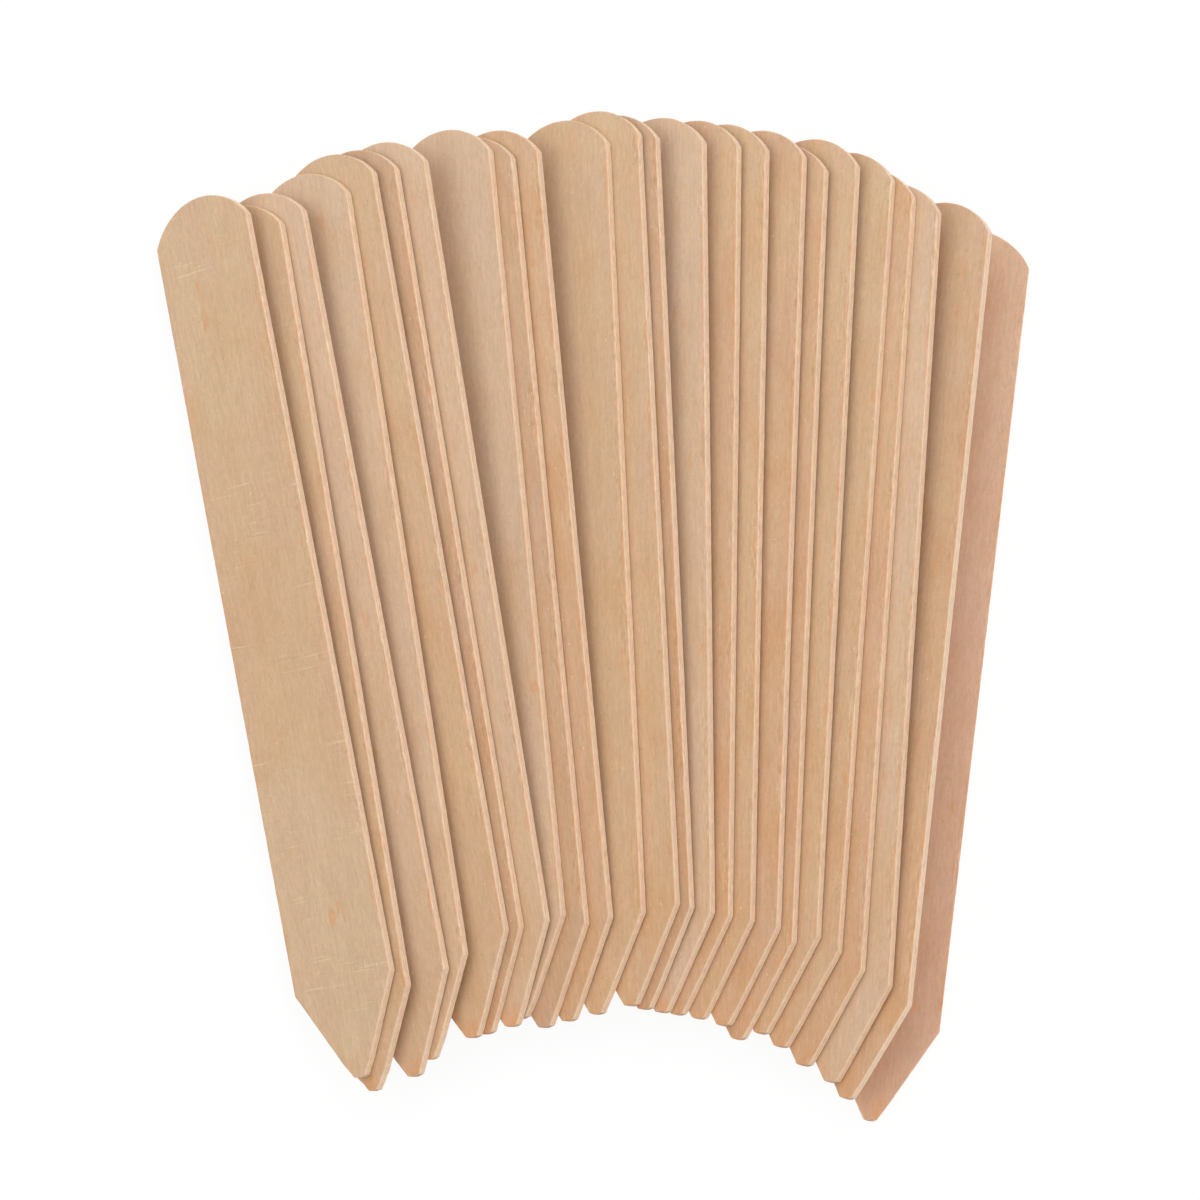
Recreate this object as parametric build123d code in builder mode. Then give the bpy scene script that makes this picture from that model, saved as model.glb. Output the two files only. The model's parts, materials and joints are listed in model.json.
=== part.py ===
from build123d import *
from math import cos, radians, sin
import os

# A fan of loose wooden plant label stakes, laid on a table and shingled from left to right.
# +Y is towards the heads, +X to the right, +Z up. The origin is under the middle of the fan.

# Driving dimensions of one stake, in millimetres
stake_length = 150
stake_width = 19
stake_thickness = 1.7
head_rise = 5.6
head_corner_radius = 1.2
point_length = 15.7
shoulder_radius = 1.5
tip_width = 2.5
tip_rise = 0.4
tip_corner_radius = 0.4
arris_radius = 0.18

# How the stakes lie: each leans on the left edge of the next, and the last lies flat
roll_degrees = 30
lying_gap = 0.03
touching_step = stake_thickness / sin(radians(roll_degrees))

# One value for each stake, from the left: how far its head leans to the left
lean_degrees = (
    11.3, 9.9, 11.0, 9.1, 10.1, 9.5, 9.2, 5.5, 5.5, 5.3, 2.5, 2.6,
    2.3, 0.3, -1.0, -1.5, -2.4, -2.9, -3.5, -4.6, -4.5, -4.4, -6.8, -7.6,
)
# How far the middle of its left edge lies right of the one before, as a share of the touching step
step_shares = (
    0, 1.15, 1.48, 1.44, 1.64, 0.87, 1.31, 1.83, 1.10, 1.19, 2.38, 1.59,
    0.76, 1.57, 1.24, 1.19, 1.50, 0.88, 1.33, 1.33, 1.04, 1.23, 1.64, 0.90,
)
# How far the same point lies towards the heads, as a share of the length
rise_shares = (
    -0.038, -0.049, -0.035, -0.013, 0.008, 0.014, 0.022, 0.038, 0.029, 0.036, 0.047, 0.055,
    0.052, 0.051, 0.050, 0.046, 0.039, 0.025, 0.031, 0.017, -0.003, -0.021, -0.038, -0.057,
)

stake_count = len(lean_degrees)


def seat_plane(index, roll, height):
    """The plane of a stake's under face: X across it, Y to its head, origin half way up its left edge."""
    across = touching_step * sum(step_shares[: index + 1])
    along = stake_length * rise_shares[index]
    turned = Location((across, along, height), (0, 0, lean_degrees[index]))
    return Plane(turned * Location((0, 0, 0), (0, -roll, 0)))


def lying_height(on_table, roll, beneath):
    """How far a stake is raised for its under face to clear the upper left edge of the next one."""
    ends = (-stake_length / 2, stake_length / 2)
    edge_points = [beneath.from_local_coords(Vector(0, end, stake_thickness)) for end in ends]
    overlap = max(on_table.to_local_coords(point).Z for point in edge_points)
    return max(0, (overlap + lying_gap) / cos(radians(roll)))


# One stake, cut from thin sheet wood, with its under face on the table, its left edge on Y and its head up
middle = stake_width / 2
head_end = stake_length / 2
head_corner = head_end - head_rise
tip_end = -stake_length / 2
shoulder = tip_end + point_length
tip_left = (middle - tip_width / 2, tip_end + tip_rise)
tip_right = (middle + tip_width / 2, tip_end + tip_rise)
with BuildPart() as flat_stake:
    with BuildSketch() as outline:
        with BuildLine():
            Polyline(tip_left, (0, shoulder), (0, head_corner))
            ThreePointArc((0, head_corner), (middle, head_end), (stake_width, head_corner))
            Polyline((stake_width, head_corner), (stake_width, shoulder), tip_right)
            ThreePointArc(tip_right, (middle, tip_end), tip_left)
        make_face()
        tip_corners, shoulders, head_corners = outline.vertices().group_by(Axis.Y)
        fillet(tip_corners, radius=tip_corner_radius)
        fillet(shoulders, radius=shoulder_radius)
        fillet(head_corners, radius=head_corner_radius)
    extrude(amount=stake_thickness)
    fillet(flat_stake.faces().filter_by(Axis.Z).edges(), radius=arris_radius)

# The stakes are laid down from the right, the flat one first, each on the one before it
seats = [seat_plane(stake_count - 1, roll=0, height=0)]
for index in reversed(range(stake_count - 1)):
    on_table = seat_plane(index, roll_degrees, height=0)
    height = lying_height(on_table, roll_degrees, seats[0])
    seats.insert(0, seat_plane(index, roll_degrees, height))

# The fan is moved so that the origin lies under its middle
fan_box = Compound([flat_stake.part.moved(seat.location) for seat in seats]).bounding_box()
to_origin = Location((-fan_box.center().X, -fan_box.center().Y, -fan_box.min.Z))

os.makedirs("parts", exist_ok=True)
for number, seat in enumerate(seats, start=1):
    with BuildPart() as stake:
        with Locations(to_origin * seat.location):
            add(flat_stake.part)
    stake.part.label = f"stake_{number:02d}"
    export_step(stake.part, f"parts/stake_{number:02d}.step")
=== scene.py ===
import json

import bpy
import numpy as np
from mathutils import Matrix, Vector


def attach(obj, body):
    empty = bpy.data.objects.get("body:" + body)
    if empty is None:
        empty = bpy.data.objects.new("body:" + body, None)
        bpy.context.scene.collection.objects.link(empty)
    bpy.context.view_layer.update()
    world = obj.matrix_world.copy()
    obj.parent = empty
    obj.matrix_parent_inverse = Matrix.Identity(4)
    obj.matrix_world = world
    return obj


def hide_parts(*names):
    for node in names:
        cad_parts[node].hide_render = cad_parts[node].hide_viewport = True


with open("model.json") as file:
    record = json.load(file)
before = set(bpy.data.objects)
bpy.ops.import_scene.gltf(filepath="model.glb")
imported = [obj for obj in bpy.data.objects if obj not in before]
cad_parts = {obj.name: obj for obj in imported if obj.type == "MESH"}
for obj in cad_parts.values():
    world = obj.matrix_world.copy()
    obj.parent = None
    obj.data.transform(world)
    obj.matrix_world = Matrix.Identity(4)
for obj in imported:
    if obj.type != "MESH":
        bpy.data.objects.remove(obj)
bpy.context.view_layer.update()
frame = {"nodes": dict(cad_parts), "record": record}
mm = 0.001

# The sheet of white paper that the fan lies on. It is seen as white, keeps a faint shadow of the stakes,
# and is clear from beneath, so that their undersides can be looked at. It lies a hair under the lowest stake.
paper_half_width = 1500 * mm
paper_top = -0.02 * mm
paper_white = (0.93, 0.93, 0.925, 1)
paper_glow = 1.02
paper_seen_white = 0.9


def add_node(tree, kind, sockets=None, **settings):
    """A new node in a tree. Each socket, named by its identifier or place, takes a value or an output."""
    made = tree.nodes.new(kind)
    for name, value in settings.items():
        setattr(made, name, value)
    for key, value in (sockets or {}).items():
        if isinstance(key, int):
            socket = made.inputs[key]
        else:
            socket = next(one for one in made.inputs if one.identifier == key)
        if isinstance(value, bpy.types.NodeSocket):
            tree.links.new(value, socket)
        else:
            socket.default_value = value
    return made


def calc(tree, operation, *terms):
    """A sum on numbers in a tree, such as ADD or MULTIPLY, and its result."""
    return add_node(tree, "ShaderNodeMath", dict(enumerate(terms)), operation=operation).outputs[0]


def seen_rays(tree):
    """1 for what the camera sees straight, in a gloss or through glass, and 0 for light on its way."""
    ray = add_node(tree, "ShaderNodeLightPath").outputs
    shiny = calc(tree, "MAXIMUM", ray["Is Glossy Ray"], ray["Is Transmission Ray"])
    return calc(tree, "MAXIMUM", ray["Is Camera Ray"], shiny)


def paper_material():
    material = bpy.data.materials.new("white paper")
    material.use_nodes = True
    tree = material.node_tree
    tree.nodes.clear()
    lit = add_node(tree, "ShaderNodeBsdfDiffuse", {"Color": paper_white}).outputs[0]
    white = add_node(tree, "ShaderNodeEmission", {"Strength": paper_glow}).outputs[0]
    seen = calc(tree, "MULTIPLY", seen_rays(tree), paper_seen_white)
    above = add_node(tree, "ShaderNodeMixShader", {0: seen, 1: lit, 2: white}).outputs[0]
    beneath = add_node(tree, "ShaderNodeNewGeometry").outputs["Backfacing"]
    clear = add_node(tree, "ShaderNodeBsdfTransparent").outputs[0]
    sheet = add_node(tree, "ShaderNodeMixShader", {0: beneath, 1: above, 2: clear}).outputs[0]
    add_node(tree, "ShaderNodeOutputMaterial", {"Surface": sheet})
    return material


paper_mesh = bpy.data.meshes.new("paper")
corners = [(x * paper_half_width, y * paper_half_width, paper_top)
           for x, y in ((-1, -1), (1, -1), (1, 1), (-1, 1))]
paper_mesh.from_pydata(corners, [], [(0, 1, 2, 3)])
paper = bpy.data.objects.new("paper", paper_mesh)
paper.data.materials.append(paper_material())
bpy.context.scene.collection.objects.link(paper)

# Soft studio light: a white room, a large soft lamp on the left, a small near one past the heads and a weak
# one on the right, low enough to catch the cut edges
room_strength = 0.628
key_power = 2.3
key_width = 700 * mm
key_place = (-800 * mm, 0, 860 * mm)
head_lamp_power = 0.53
head_lamp_width = 300 * mm
head_lamp_place = (40 * mm, 330 * mm, 380 * mm)
fill_power = 0.93
fill_width = 500 * mm
fill_place = (520 * mm, -190 * mm, 530 * mm)


def white_room():
    world = bpy.data.worlds.new("white room")
    world.use_nodes = True
    tree = world.node_tree
    tree.nodes.clear()
    strength = calc(tree, "MULTIPLY_ADD", seen_rays(tree), 1 - room_strength, room_strength)
    light = add_node(tree, "ShaderNodeBackground", {"Color": (1, 1, 1, 1), "Strength": strength})
    add_node(tree, "ShaderNodeOutputWorld", {"Surface": light.outputs[0]})
    return world


def soft_lamp(name, power, width, place):
    lamp = bpy.data.lights.new(name, "AREA")
    lamp.shape = "SQUARE"
    lamp.size = width
    lamp.energy = power
    lamp_object = bpy.data.objects.new(name, lamp)
    lamp_object.location = place
    lamp_object.rotation_euler = (-Vector(place)).to_track_quat("-Z", "Y").to_euler()
    bpy.context.scene.collection.objects.link(lamp_object)


bpy.context.scene.world = white_room()
soft_lamp("key", key_power, key_width, key_place)
soft_lamp("head lamp", head_lamp_power, head_lamp_width, head_lamp_place)
soft_lamp("fill", fill_power, fill_width, fill_place)
bpy.context.scene.view_settings.view_transform = "Standard"

# The camera looks down on the fan from the side of the points, a little right of its middle
sight_point = Vector((1.29, 2.24, 0)) * mm
camera_from_sight = Vector((20.57, -139.5, 680.6)) * mm
camera_data = bpy.data.cameras.new("camera")
camera_data.lens = 126.1
camera_data.sensor_width = 36
camera_data.clip_start = 10 * mm
camera = bpy.data.objects.new("camera", camera_data)
camera_back = camera_from_sight.normalized()
camera_right = Vector((0, 1, 0)).cross(camera_back).normalized()
camera_up = camera_back.cross(camera_right)
turned = Matrix((camera_right, camera_up, camera_back)).transposed()
camera.matrix_world = Matrix.Translation(sight_point + camera_from_sight) @ turned.to_4x4()
bpy.context.scene.collection.objects.link(camera)
bpy.context.scene.camera = camera

# The stakes: plain plant labels, stamped out of a thin sliced sheet of birch, each with a round head and a
# point with a blunt tip. A tumbling drum eased their sharp edges and frayed their tips. They lie loose, one
# leaning on the next. Each is the same blank, which Geometry Nodes build in the stake's own frame.
blank_sizes = {
    "Head Rise": 5.6 * mm,
    "Head Corner Radius": 1.2 * mm,
    "Point Length": 15.7 * mm,
    "Shoulder Radius": 1.0 * mm,
    "Tip Width": 2.5 * mm,
    "Tip Rise": 0.3 * mm,
    "Tip Corner Radius": 0.3 * mm,
    "Arris Radius": 0.15 * mm,
    "Side Wear": 0.05 * mm,
    "Side Wave": 9 * mm,
    "Nick Depth": 0.1 * mm,
    "Nick Length": 1.1 * mm,
    "Fray Length": 0.8 * mm,
    "Fray Start": 3.2 * mm,
    "Fray Full": 0.4 * mm,
}
length_sockets = ["Width", "Length", "Thickness", *blank_sizes, "Head Slant", "Tip Wear", "Saw Marks"]
corner_cuts = 5
arris_cuts = 3
slant_bend = 3.0
grain_shift = (37 * mm, 291 * mm)
weld_distance = 0.002 * mm
tiny = 0.001 * mm


def point(tree, x, y, z=0.0):
    """A vector in a tree, from its three numbers."""
    return add_node(tree, "ShaderNodeCombineXYZ", {"X": x, "Y": y, "Z": z}).outputs[0]


def parts_of(tree, vector):
    """The three numbers of a vector in a tree, by the names X, Y and Z."""
    return add_node(tree, "ShaderNodeSeparateXYZ", {0: vector}).outputs


def share_between(tree, value, low, high):
    """0 where a value is at or under low, 1 where it is at or over high."""
    given = {"Value": value, "From Min": low, "From Max": high}
    return add_node(tree, "ShaderNodeMapRange", given, clamp=True).outputs[0]


def pick_by_index(tree, kind, choices):
    """A different value for each point of a curve, in order."""
    place = add_node(tree, "GeometryNodeInputIndex").outputs[0]
    switch = add_node(tree, "GeometryNodeIndexSwitch", {"Index": place}, data_type=kind)
    while len(switch.index_switch_items) < len(choices):
        switch.index_switch_items.new()
    for number, choice in enumerate(choices):
        socket = switch.inputs[number + 1]
        if isinstance(choice, bpy.types.NodeSocket):
            tree.links.new(choice, socket)
        else:
            socket.default_value = choice
    return switch.outputs[0]


def moved(tree, geometry, position=None, offset=None, chosen=None):
    """The geometry with its points set to a position, or shifted by an offset."""
    given = {"Geometry": geometry, "Position": position, "Offset": offset, "Selection": chosen}
    given = {name: value for name, value in given.items() if value is not None}
    return add_node(tree, "GeometryNodeSetPosition", given).outputs[0]


def outward(tree, distance):
    """A shift along the normal of a curve that lies flat."""
    normal = add_node(tree, "GeometryNodeInputNormal").outputs[0]
    given = {"Vector": normal, "Scale": distance}
    return add_node(tree, "ShaderNodeVectorMath", given, operation="SCALE").outputs[0]


def filleted(tree, curve, radius, cuts, limited):
    """A curve with its corners rounded."""
    given = {"Curve": curve, "Count": cuts, "Radius": radius, "Limit Radius": limited}
    return add_node(tree, "GeometryNodeFilletCurve", given, mode="POLY").outputs[0]


def turned_up(tree, curve):
    """A flat curve whose normals lie flat too, and point outwards."""
    return add_node(tree, "GeometryNodeSetCurveNormal", {"Curve": curve}, mode="Z_UP").outputs[0]


def flipped(tree, mesh):
    return add_node(tree, "GeometryNodeFlipFaces", {"Mesh": mesh}).outputs[0]


def shaded(tree, mesh, smooth):
    given = {"Geometry": mesh, "Shade Smooth": smooth}
    return add_node(tree, "GeometryNodeSetShadeSmooth", given).outputs[0]


def stored(tree, geometry, name, value, kind="FLOAT", domain="POINT"):
    """The geometry with a value kept on it under a name."""
    given = {"Geometry": geometry, "Name": name, "Value": value}
    return add_node(tree, "GeometryNodeStoreNamedAttribute", given, data_type=kind, domain=domain).outputs[0]


def seeded_noise(tree, length, seed):
    """Noise from 0 to 1 over the points of a curve, with the length of its waves."""
    place = add_node(tree, "GeometryNodeInputPosition").outputs[0]
    given = {"Vector": place, "W": seed, "Scale": calc(tree, "DIVIDE", 1.0, length)}
    return add_node(tree, "ShaderNodeTexNoise", given, noise_dimensions="4D").outputs[0]


def arc_rise(tree, x, half_chord, rise):
    """How far an arc on a chord stands above the line that touches its middle, at X. It is 0 or less."""
    rise_square = calc(tree, "MULTIPLY", rise, rise)
    squares = calc(tree, "ADD", calc(tree, "MULTIPLY", half_chord, half_chord), rise_square)
    radius = calc(tree, "DIVIDE", calc(tree, "DIVIDE", squares, rise), 2.0)
    under_root = calc(tree, "SUBTRACT", calc(tree, "MULTIPLY", radius, radius), calc(tree, "MULTIPLY", x, x))
    return calc(tree, "SUBTRACT", calc(tree, "SQRT", calc(tree, "MAXIMUM", under_root, 0.0)), radius)


def sharp_outline(tree, given, half_width, half_length):
    """The blank's outline with sharp corners, and the radius of each corner kept on it."""
    half_tip = calc(tree, "DIVIDE", given["Tip Width"], 2.0)
    left = calc(tree, "MULTIPLY", half_width, -1.0)
    head_corner = calc(tree, "SUBTRACT", half_length, given["Head Rise"])
    shoulder = calc(tree, "SUBTRACT", given["Point Length"], half_length)
    tip_corner = calc(tree, "SUBTRACT", given["Tip Rise"], half_length)

    # The six corners, in turn from the right of the head, and how finely each edge after them is cut
    corner_places = (
        point(tree, half_width, head_corner), point(tree, left, head_corner), point(tree, left, shoulder),
        point(tree, calc(tree, "MULTIPLY", half_tip, -1.0), tip_corner), point(tree, half_tip, tip_corner),
        point(tree, half_width, shoulder),
    )
    edge_cuts = (40, 220, 56, 9, 56, 220)
    loop = add_node(tree, "GeometryNodeCurvePrimitiveCircle", {"Resolution": len(corner_places)}).outputs[0]
    loop = moved(tree, loop, position=pick_by_index(tree, "VECTOR", corner_places))
    loop = add_node(tree, "GeometryNodeSubdivideCurve",
                    {"Curve": loop, "Cuts": pick_by_index(tree, "INT", edge_cuts)}).outputs[0]

    # The corners' radii, kept before the points move
    here = parts_of(tree, add_node(tree, "GeometryNodeInputPosition").outputs[0])
    from_middle = calc(tree, "ABSOLUTE", here["X"])
    at_head = calc(tree, "GREATER_THAN", here["Y"], calc(tree, "SUBTRACT", head_corner, tiny))
    at_tip = calc(tree, "LESS_THAN", here["Y"], calc(tree, "ADD", tip_corner, tiny))
    by_side = calc(tree, "COMPARE", from_middle, half_width, tiny)
    by_tip_corner = calc(tree, "MULTIPLY", calc(tree, "COMPARE", here["Y"], tip_corner, tiny),
                         calc(tree, "COMPARE", from_middle, half_tip, tiny))
    at_shoulder = calc(tree, "COMPARE", here["Y"], shoulder, tiny)
    by_head_corner = calc(tree, "MULTIPLY", at_head, by_side)
    head_radius = calc(tree, "MULTIPLY", by_head_corner, given["Head Corner Radius"])
    tip_radius = calc(tree, "MULTIPLY", by_tip_corner, given["Tip Corner Radius"])
    corner_radius = calc(tree, "ADD", head_radius, tip_radius)
    corner_radius = calc(tree, "MULTIPLY_ADD", at_shoulder, given["Shoulder Radius"], corner_radius)
    loop = stored(tree, loop, "corner radius", corner_radius)

    # The straight edges at the head and the tip are pushed out to their arcs
    head_y = calc(tree, "ADD", half_length, arc_rise(tree, here["X"], half_width, given["Head Rise"]))
    tip_y = calc(tree, "SUBTRACT", calc(tree, "MULTIPLY", half_length, -1.0),
                 arc_rise(tree, here["X"], half_tip, given["Tip Rise"]))
    loop = moved(tree, loop, position=point(tree, here["X"], head_y), chosen=at_head)
    loop = moved(tree, loop, position=point(tree, here["X"], tip_y), chosen=at_tip)

    # A head that isn't stamped square falls off to its left
    to_left = calc(tree, "DIVIDE", calc(tree, "SUBTRACT", half_width, here["X"]), given["Width"])
    up_stake = share_between(tree, here["Y"], 0.0, head_corner)
    slant = calc(tree, "MULTIPLY", calc(tree, "MULTIPLY", given["Head Slant"], up_stake),
                 calc(tree, "POWER", to_left, slant_bend))
    return moved(tree, loop, offset=point(tree, 0.0, calc(tree, "MULTIPLY", slant, -1.0)))


def worn(tree, loop, given, half_length):
    """The outline with wear: the sides wander a little and have small nicks, and the tip is frayed."""
    here = parts_of(tree, add_node(tree, "GeometryNodeInputPosition").outputs[0])
    from_tip = calc(tree, "ADD", here["Y"], half_length)
    near_tip = share_between(tree, from_tip, given["Fray Start"], given["Fray Full"])
    fray = calc(tree, "MULTIPLY", seeded_noise(tree, given["Fray Length"], given["Seed"]), near_tip)
    fray = calc(tree, "MULTIPLY", fray, given["Tip Wear"])
    side_noise = seeded_noise(tree, given["Side Wave"], given["Seed"])
    nick_noise = seeded_noise(tree, given["Nick Length"], given["Seed"])
    wear = calc(tree, "MULTIPLY_ADD", side_noise, given["Side Wear"], fray)
    wear = calc(tree, "MULTIPLY_ADD", nick_noise, given["Nick Depth"], wear)
    return moved(tree, turned_up(tree, loop), offset=outward(tree, calc(tree, "MULTIPLY", wear, -1.0)))


def blank_tree():
    tree = bpy.data.node_groups.new("stake blank", "GeometryNodeTree")
    for name in length_sockets:
        tree.interface.new_socket(name, in_out="INPUT", socket_type="NodeSocketFloat")
    tree.interface.new_socket("Seed", in_out="INPUT", socket_type="NodeSocketInt")
    tree.interface.new_socket("Material", in_out="INPUT", socket_type="NodeSocketMaterial")
    tree.interface.new_socket("Geometry", in_out="OUTPUT", socket_type="NodeSocketGeometry")
    given = add_node(tree, "NodeGroupInput").outputs
    half_width = calc(tree, "DIVIDE", given["Width"], 2.0)
    half_length = calc(tree, "DIVIDE", given["Length"], 2.0)
    half_thickness = calc(tree, "DIVIDE", given["Thickness"], 2.0)
    loop = worn(tree, sharp_outline(tree, given, half_width, half_length), given, half_length)
    kept_radius = add_node(tree, "GeometryNodeInputNamedAttribute", {"Name": "corner radius"},
                           data_type="FLOAT").outputs[0]
    loop = turned_up(tree, filleted(tree, loop, kept_radius, corner_cuts, limited=True))

    # The edge's profile, with both sharp edges eased, runs round the outline, and two flat faces close it
    inset = calc(tree, "MULTIPLY", given["Arris Radius"], -1.0)
    below = calc(tree, "MULTIPLY", half_thickness, -1.0)
    profile_corners = (
        point(tree, inset, half_thickness), point(tree, 0.0, half_thickness),
        point(tree, 0.0, below), point(tree, inset, below),
    )
    line = add_node(tree, "GeometryNodeCurvePrimitiveLine").outputs[0]
    profile = add_node(tree, "GeometryNodeSubdivideCurve",
                       {"Curve": line, "Cuts": len(profile_corners) - 2}).outputs[0]
    profile = moved(tree, profile, position=pick_by_index(tree, "VECTOR", profile_corners))
    profile = filleted(tree, profile, given["Arris Radius"], arris_cuts, limited=False)
    rim = add_node(tree, "GeometryNodeCurveToMesh", {"Curve": loop, "Profile Curve": profile}).outputs[0]
    rim = shaded(tree, flipped(tree, rim), smooth=True)
    face = add_node(tree, "GeometryNodeFillCurve", {"Curve": moved(tree, loop, offset=outward(tree, inset))},
                    mode="NGONS").outputs[0]
    face = shaded(tree, face, smooth=False)
    upper = moved(tree, face, offset=point(tree, 0.0, 0.0, half_thickness))
    lower = moved(tree, flipped(tree, face), offset=point(tree, 0.0, 0.0, below))
    pieces = add_node(tree, "GeometryNodeJoinGeometry")
    for piece in (lower, upper, rim):
        tree.links.new(piece, pieces.inputs[0])
    solid = add_node(tree, "GeometryNodeMergeByDistance",
                     {"Geometry": pieces.outputs[0], "Distance": weld_distance}).outputs[0]

    # The grain follows each stake's own length, and differs from one stake to the next
    board = add_node(tree, "GeometryNodeInputPosition").outputs[0]
    shift_across, shift_along = (calc(tree, "MULTIPLY", given["Seed"], shift) for shift in grain_shift)
    own = point(tree, shift_across, shift_along)
    grain = add_node(tree, "ShaderNodeVectorMath", {0: board, 1: own}, operation="ADD").outputs[0]
    facing = add_node(tree, "GeometryNodeInputNormal").outputs[0]
    solid = stored(tree, solid, "board", board, "FLOAT_VECTOR")
    solid = stored(tree, solid, "grain", grain, "FLOAT_VECTOR")
    solid = stored(tree, solid, "saw marks", given["Saw Marks"])
    solid = stored(tree, solid, "facing", facing, "FLOAT_VECTOR", domain="FACE")
    solid = add_node(tree, "GeometryNodeRealizeInstances", {"Geometry": solid}).outputs[0]
    solid = add_node(tree, "GeometryNodeSetMaterial",
                     {"Geometry": solid, "Material": given["Material"]}).outputs[0]
    add_node(tree, "NodeGroupOutput", {0: solid})
    return tree


# The stakes' wood: bare birch, tumbled smooth. Its colours are as they are seen on a screen, from 0 to 255,
# and its marks are noise with a size across and along the grain. Low and high bound what shows of a noise.
stain_colour = (224, 158, 104)
# This colour darkens the end grain, which is dirt, and the left edge, where it is painted shade
dirt_and_shade_colour = (150, 104, 70)
scratch_colour = (240, 216, 176)
pink_cut_colour = (240, 208, 178)
# Cream of the eased corners on the cut edge: partly its own colour, partly painted highlight
cream_cut_and_highlight_colour = (252, 227, 197)

warm_bands = dict(across=6 * mm, along=16 * mm, detail=1.5, low=0.46, high=1.0)
# How much warmer and darker the faces grow towards the point: painted shade
point_shade_share = 0.75
pink_bands = dict(across=7 * mm, along=25 * mm, detail=1.0, offset=5.0, low=0.42, high=1.0)
flushes = dict(across=3 * mm, along=6 * mm, offset=13.0, low=0.66, high=0.78)
flush_share = 0.45
blotches = dict(across=1.6 * mm, along=5 * mm, detail=3.0, offset=6.0, low=0.42, high=0.7)
stain_share = 0.7
edge_blotches = dict(across=1.2 * mm, along=2.5 * mm, detail=3.0, roughness=0.65, offset=8.0)
edge_blotch_contrast = 1.6
# Patches that darken the left edge, as painted shade, and the very tip
dark_edge_patches = dict(across=1 * mm, along=3.5 * mm, detail=2.0, offset=17.0, low=0.3, high=0.6)
dirt_and_shade_share = 0.6
saw_lines = dict(across=9 * mm, along=0.45 * mm, detail=1.0, offset=11.0, turn=0.08)
sawn_areas = dict(across=14 * mm, along=14 * mm, detail=1.0, offset=14.0, low=0.47, high=0.58)
scratch_share = 0.4
specks = dict(across=0.45 * mm, along=0.6 * mm, detail=0.0, offset=12.0, low=0.81, high=0.85)
speck_share = 0.7
torn_areas = dict(across=4 * mm, along=12 * mm, offset=16.0, low=0.42, high=0.6)
tears = dict(across=0.3 * mm, along=2 * mm, detail=2.0, roughness=0.7, offset=15.0)
tear_contrast = 1.0
chatter = dict(across=0.5 * mm, along=1.4 * mm, detail=2.0, roughness=0.6, offset=18.0)
chatter_contrast = 0.4
bands = dict(across=2 * mm, along=70 * mm, offset=9.0)
band_contrast = 0.08
streaks = dict(across=0.45 * mm, along=9 * mm, offset=3.0)
streak_contrast = 0.2
fibres = dict(across=0.25 * mm, along=1.4 * mm, detail=1.0, offset=7.0)
fibre_contrast = 0.16
fuzz = dict(across=0.5 * mm, along=1.5 * mm, detail=3.0, roughness=0.7, offset=2.0)
fuzz_contrast = 0.3
mottles = dict(across=1.6 * mm, along=2.4 * mm, offset=1.0)
mottle_contrast = 0.08
pores = dict(across=0.2 * mm, along=0.5 * mm, detail=1.0, offset=4.0, low=0.66, high=0.78)
pore_darkness = -0.22
scratch_side_darkness = -0.05
added_tone_share = 0.225
streak_relief = 0.6
relief_strength = 0.3
relief_height = 0.03 * mm
wood_finish = {
    "Roughness": 0.68,
    "Specular IOR Level": 0.3,
    "Subsurface Weight": 0.35,
    "Subsurface Radius": (1.0, 0.4, 0.2),
    "Subsurface Scale": 0.9 * mm,
}

# Where a mark starts and where it is full, on a board measured from its middle, X across and Y to the head
board_half_width = 9.5 * mm
board_half_thickness = 0.85 * mm
shoulder_y = -59.3 * mm
slope_across = 0.885
slope_along = 0.466
# Where the painted shade towards the point starts and where it is full
point_shade_y = (70 * mm, -70 * mm)
rough_point_y = (-15 * mm, -40 * mm)
rough_point_paleness = 1.3
stained_edge_x = (8.6 * mm, board_half_width)
stained_tip_y = (-70 * mm, -74.5 * mm)
darkened_tip_y = (-74.55 * mm, -74.75 * mm)
shaded_left_edge_depths = (0.3 * mm, 0.12 * mm)
torn_edge_x = (7.6 * mm, 9.2 * mm)
# Where the cream of the eased corners, partly painted highlight, starts and where it is full
highlight_depth_shares = (0.5, 0.9)
end_grain_slopes = (0.85, 0.97)
scratch_bounds = (0.6, 0.7)
beside_scratch_bounds = (0.52, 0.6)


def wood_noise(tree, across, along, detail=2.0, roughness=0.5, offset=0.0, turn=0.0):
    """Noise from 0 to 1 in the board's own frame, with the size of its marks and their turn."""
    grain = add_node(tree, "ShaderNodeAttribute", attribute_name="grain").outputs["Vector"]
    if turn:
        given = {"Vector": grain, "Angle": turn}
        grain = add_node(tree, "ShaderNodeVectorRotate", given, rotation_type="Z_AXIS").outputs[0]
    given = {"Vector": grain, "Scale": (1 / across, 1 / along, 1 / across), "Location": (offset, offset, 0)}
    laid = add_node(tree, "ShaderNodeMapping", given).outputs[0]
    given = {"Vector": laid, "Scale": 1.0, "Detail": detail, "Roughness": roughness}
    return add_node(tree, "ShaderNodeTexNoise", given).outputs[0]


def patches(tree, low, high, **noise):
    """1 on scattered patches of the wood, 0 beside them."""
    return share_between(tree, wood_noise(tree, **noise), low, high)


def blended(tree, factor, first, second):
    """Two colours mixed by a factor."""
    given = {"Factor_Float": factor, "A_Color": first, "B_Color": second}
    mixed = add_node(tree, "ShaderNodeMix", given, data_type="RGBA")
    return next(out for out in mixed.outputs if out.identifier == "Result_Color")


def tinted(tree, colour, mask, share, tint):
    """A colour with a share of a tint where the mask is 1."""
    return blended(tree, calc(tree, "MULTIPLY", mask, share), colour, linear(*tint))


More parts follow.
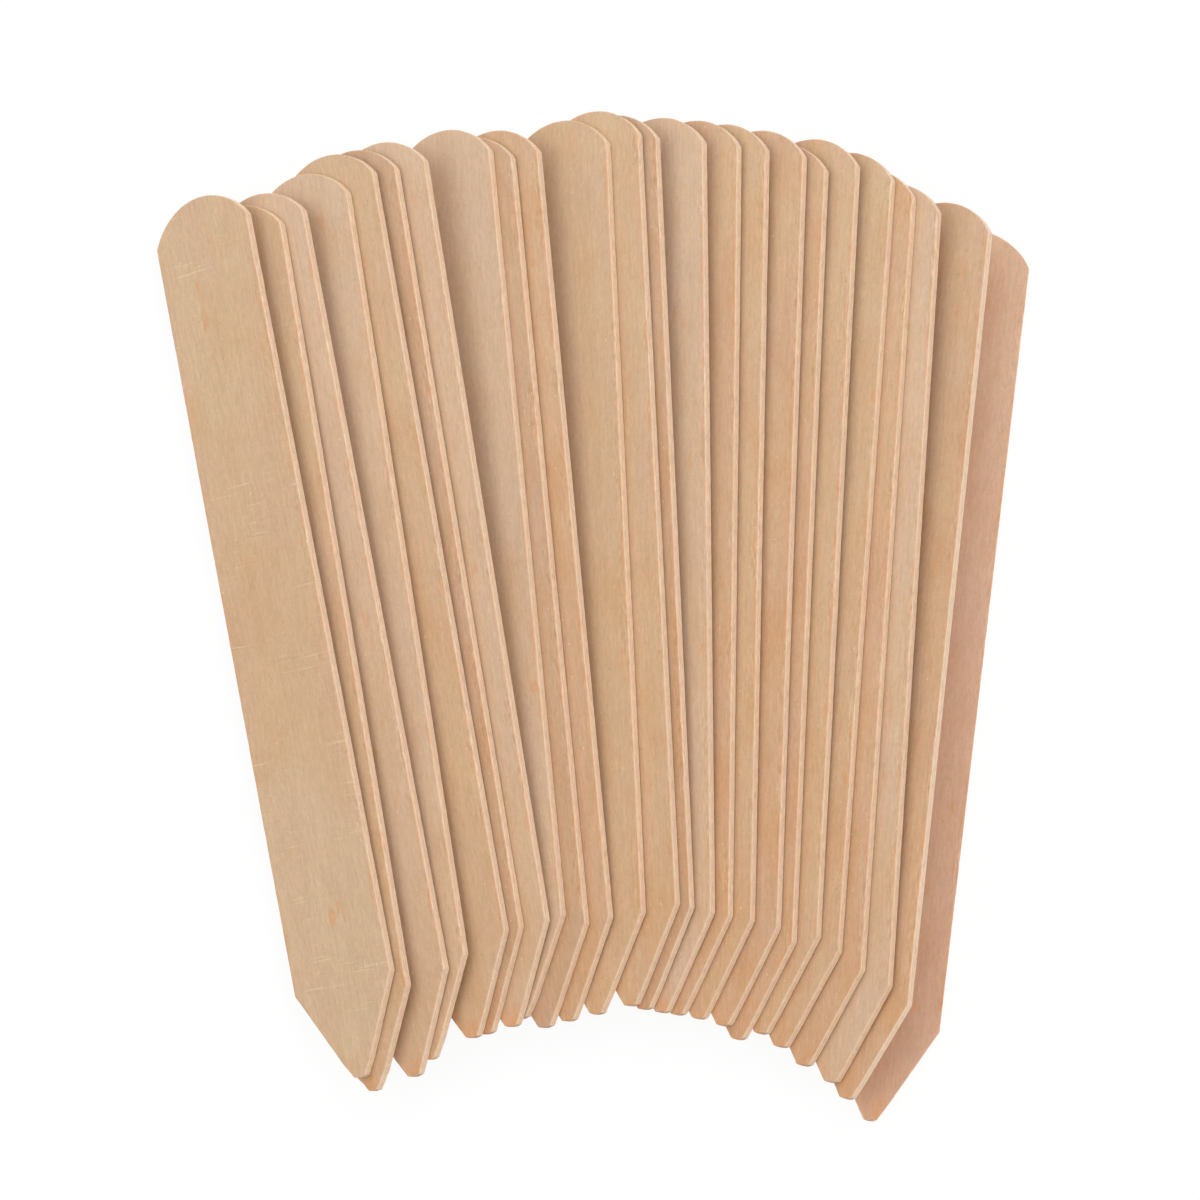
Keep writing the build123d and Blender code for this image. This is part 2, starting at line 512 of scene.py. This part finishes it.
def linear(red, green, blue):
    """A colour as it is seen on a screen, from 0 to 255, as the light that a surface returns."""
    def one(value):
        share = value / 255
        return share / 12.92 if share <= 0.04045 else ((share + 0.055) / 1.055) ** 2.4
    return (one(red), one(green), one(blue), 1)


def face_colour(tree, board, saw_marks, face, warm, pink):
    """The broad faces: warmer in bands, and warmer and darker towards the point as painted shade, less so
    where saw marks are left on it.
    """
    # Painted shade: the faces grow warmer and darker towards the point
    point_shade = share_between(tree, board["Y"], *point_shade_y)
    rough_point = calc(tree, "MULTIPLY", share_between(tree, board["Y"], *rough_point_y), saw_marks)
    point_shade = calc(tree, "SUBTRACT", point_shade, calc(tree, "MULTIPLY", rough_point, rough_point_paleness))
    warm_share = calc(tree, "MULTIPLY_ADD", point_shade, point_shade_share, patches(tree, **warm_bands))
    warm_share = calc(tree, "MAXIMUM", calc(tree, "MINIMUM", warm_share, 1.0), 0.0)
    colour = blended(tree, warm_share, linear(*face), linear(*warm))
    colour = blended(tree, patches(tree, **pink_bands), colour, linear(*pink))
    colour = tinted(tree, colour, patches(tree, **flushes), flush_share, stain_colour)

    # Stains along the outer edges and at the tip
    by_edge = share_between(tree, calc(tree, "ABSOLUTE", board["X"]), *stained_edge_x)
    by_tip = share_between(tree, board["Y"], *stained_tip_y)
    stained = calc(tree, "MULTIPLY", calc(tree, "MAXIMUM", by_edge, by_tip), patches(tree, **blotches))
    return tinted(tree, colour, stained, stain_share, stain_colour)


def edge_colour(tree, board):
    """The cut edge: pinkish half way down, cream at both eased corners, which is partly the cut's own paler
    colour and partly a painted highlight where the corners catch the light, and blotched along its length.
    """
    depth = calc(tree, "DIVIDE", calc(tree, "ABSOLUTE", board["Z"]), board_half_thickness)
    # Painted highlight, with the cut's own paleness, at both eased corners
    corner_highlight = share_between(tree, depth, *highlight_depth_shares)
    blotched = calc(tree, "MULTIPLY_ADD", wood_noise(tree, **edge_blotches), edge_blotch_contrast,
                    -edge_blotch_contrast / 2)
    cream_and_highlight_share = calc(tree, "ADD", corner_highlight, blotched)
    cream_and_highlight_share = calc(tree, "MAXIMUM", calc(tree, "MINIMUM", cream_and_highlight_share, 1.0), 0.0)
    return blended(tree, cream_and_highlight_share, linear(*pink_cut_colour), linear(*cream_cut_and_highlight_colour))


def dirt_and_painted_shade(tree, board, facing):
    """1 on the end grain, which drinks in dirt, along the left edge, where a thin line of painted shade
    darkens it, and in patches at the very tip, which is darker.
    """
    end_grain = share_between(tree, calc(tree, "ABSOLUTE", facing["Y"]), *end_grain_slopes)
    from_side = calc(tree, "ADD", board["X"], board_half_width)
    from_shoulder = calc(tree, "SUBTRACT", board["Y"], shoulder_y)
    from_slope = calc(tree, "MULTIPLY", from_shoulder, slope_along)
    from_slope = calc(tree, "MULTIPLY_ADD", from_side, slope_across, from_slope)
    # The left edge is darkened in patches as painted shade
    shaded_left_edge = share_between(tree, calc(tree, "MINIMUM", from_side, from_slope), *shaded_left_edge_depths)
    tip_edge = share_between(tree, board["Y"], *darkened_tip_y)
    dark_patches = patches(tree, **dark_edge_patches)
    dark_share = calc(tree, "MAXIMUM", end_grain, calc(tree, "MULTIPLY", shaded_left_edge, dark_patches))
    return calc(tree, "MAXIMUM", dark_share, calc(tree, "MULTIPLY", tip_edge, dark_patches))


def birch(name, face, warm, pink):
    material = bpy.data.materials.new(name)
    material.use_nodes = True
    tree = material.node_tree
    tree.nodes.clear()
    board = parts_of(tree, add_node(tree, "ShaderNodeAttribute", attribute_name="board").outputs["Vector"])
    facing = parts_of(tree, add_node(tree, "ShaderNodeAttribute", attribute_name="facing").outputs["Vector"])
    saw_marks = add_node(tree, "ShaderNodeAttribute", attribute_name="saw marks").outputs["Fac"]
    cut = calc(tree, "SUBTRACT", 1.0, calc(tree, "ABSOLUTE", facing["Z"]))
    colour = face_colour(tree, board, saw_marks, face, warm, pink)
    colour = blended(tree, cut, colour, edge_colour(tree, board))
    # Dirt on the end grain, painted shade along the left edge, and a darker tip
    colour = tinted(tree, colour, dirt_and_painted_shade(tree, board, facing), dirt_and_shade_share, dirt_and_shade_colour)

    # Pale scratches of the saw, with a darker line beside each, and pale specks
    sawn = wood_noise(tree, **saw_lines)
    scratches = share_between(tree, sawn, *scratch_bounds)
    beside_scratches = calc(tree, "SUBTRACT", share_between(tree, sawn, *beside_scratch_bounds), scratches)
    scratched = calc(tree, "MULTIPLY", patches(tree, **sawn_areas), saw_marks)
    colour = tinted(tree, colour, calc(tree, "MULTIPLY", scratches, scratched), scratch_share, scratch_colour)
    colour = tinted(tree, colour, patches(tree, **specks), speck_share, scratch_colour)

    # Fine marks that make the wood lighter or darker: growth bands, streaks, fibres, fuzz, mottles and
    # pores, fibres torn up near the right edge, and the saw's chatter on the cut edge
    streak_noise = wood_noise(tree, **streaks)
    fuzz_noise = wood_noise(tree, **fuzz)
    by_right_edge = share_between(tree, board["X"], *torn_edge_x)
    torn = calc(tree, "MULTIPLY", by_right_edge, patches(tree, **torn_areas))
    tone = 1.0
    for noise, contrast, where in (
        (wood_noise(tree, **bands), band_contrast, 1.0),
        (streak_noise, streak_contrast, 1.0),
        (wood_noise(tree, **fibres), fibre_contrast, 1.0),
        (fuzz_noise, fuzz_contrast, 1.0),
        (wood_noise(tree, **mottles), mottle_contrast, 1.0),
        (wood_noise(tree, **tears), tear_contrast, torn),
        (wood_noise(tree, **chatter), chatter_contrast, cut),
    ):
        swing = calc(tree, "MULTIPLY", calc(tree, "SUBTRACT", noise, 0.5), where)
        tone = calc(tree, "MULTIPLY_ADD", swing, contrast, tone)
    tone = calc(tree, "MULTIPLY_ADD", patches(tree, **pores), pore_darkness, tone)
    beside_scratches = calc(tree, "MULTIPLY", beside_scratches, scratched)
    tone = calc(tree, "MULTIPLY_ADD", beside_scratches, scratch_side_darkness, tone)

    # Half of each mark's tone scales the colour, and half adds to it, so that the marks shift its hue little
    half_tone = calc(tree, "MULTIPLY_ADD", tone, 0.5, 0.5)
    added_tone = calc(tree, "MULTIPLY_ADD", tone, added_tone_share, -added_tone_share)
    given = {0: colour, "Scale": half_tone}
    colour = add_node(tree, "ShaderNodeVectorMath", given, operation="SCALE").outputs[0]
    colour = add_node(tree, "ShaderNodeVectorMath", {0: colour, 1: added_tone}, operation="ADD").outputs[0]
    relief = calc(tree, "MULTIPLY_ADD", streak_noise, streak_relief, fuzz_noise)
    given = {"Height": relief, "Strength": relief_strength, "Distance": relief_height}
    bump = add_node(tree, "ShaderNodeBump", given).outputs[0]
    given = {"Base Color": colour, "Normal": bump, **wood_finish}
    wood = add_node(tree, "ShaderNodeBsdfPrincipled", given)
    add_node(tree, "ShaderNodeOutputMaterial", {"Surface": wood.outputs[0]})
    return material


woods = {
    "wood_straw": birch("straw birch", (218, 187, 152), (214, 172, 130), (216, 180, 151)),
    "wood_pale": birch("pale birch", (222, 192, 162), (216, 179, 142), (218, 188, 164)),
    "wood_honey": birch("honey birch", (218, 184, 149), (212, 166, 123), (214, 177, 151)),
    "wood_tan": birch("tan birch", (212, 179, 148), (205, 163, 123), (208, 173, 150)),
    # The rose birch is lighter than the rest: partly its own tone, partly painted light that lifts the shade
    # these stakes lie in
    "wood_rose": birch("rose birch with painted light", (228, 192, 163), (224, 178, 146), (226, 187, 163)),
}
slot_of = {entry["node"]: entry["material_slot"] for entry in frame["record"]["subparts"]}

# The stakes are laid out, each where its solid lies. The first has a slanted head, a few have a more worn
# tip than the rest, and three keep more of the saw's marks.
head_slants = {"stake_01": 0.6 * mm}
tip_wears = {"stake_01": 0.45 * mm, "stake_02": 0.9 * mm, "stake_04": 0.55 * mm, "stake_08": 0.6 * mm}
usual_tip_wear = 0.22 * mm
saw_marks_left = {"stake_01": 1.0, "stake_02": 0.4, "stake_08": 0.3}
usual_saw_marks = 0.1
square_enough = 0.01


def seat_of(node):
    """Where a stake lies, read from its solid: its place and turn, and its width, length and thickness."""
    mesh = frame["nodes"][node].data
    mesh.calc_loop_triangles()
    normals = np.array([triangle.normal for triangle in mesh.loop_triangles])
    areas = np.array([triangle.area for triangle in mesh.loop_triangles])
    up = normals[areas.argmax()]
    up = up * np.sign(up[2])
    on_edge = np.abs(normals @ up) < square_enough
    across = normals[(areas * on_edge).argmax()]
    across = across * np.sign(across[0])
    axes = np.array([across, np.cross(up, across), up])
    points = np.array([vertex.co for vertex in mesh.vertices]) @ axes.T
    low, high = points.min(axis=0), points.max(axis=0)
    place = Matrix.Translation(Vector(axes.T @ ((low + high) / 2))) @ Matrix(axes.T).to_4x4()
    return place, high - low


blank = blank_tree()
socket_of = {item.name: item.identifier for item in blank.interface.items_tree if item.in_out == "INPUT"}
for number, node in enumerate(sorted(frame["nodes"]), start=1):
    place, sizes = seat_of(node)
    piece = bpy.data.objects.new(f"wood_{node}", bpy.data.meshes.new(node))
    bpy.context.scene.collection.objects.link(piece)
    cutting = piece.modifiers.new("blank", "NODES")
    cutting.node_group = blank
    for name, value in blank_sizes.items():
        cutting[socket_of[name]] = value
    for name, value in zip(("Width", "Length", "Thickness"), sizes):
        cutting[socket_of[name]] = float(value)
    cutting[socket_of["Head Slant"]] = head_slants.get(node, 0.0)
    cutting[socket_of["Tip Wear"]] = tip_wears.get(node, usual_tip_wear)
    cutting[socket_of["Saw Marks"]] = saw_marks_left.get(node, usual_saw_marks)
    cutting[socket_of["Seed"]] = number
    cutting[socket_of["Material"]] = woods[slot_of[node]]
    bpy.context.view_layer.update()
    made = bpy.data.meshes.new_from_object(piece.evaluated_get(bpy.context.evaluated_depsgraph_get()))
    piece.modifiers.clear()
    made.transform(place)
    piece.data = made
    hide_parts(node)
    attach(piece, node)
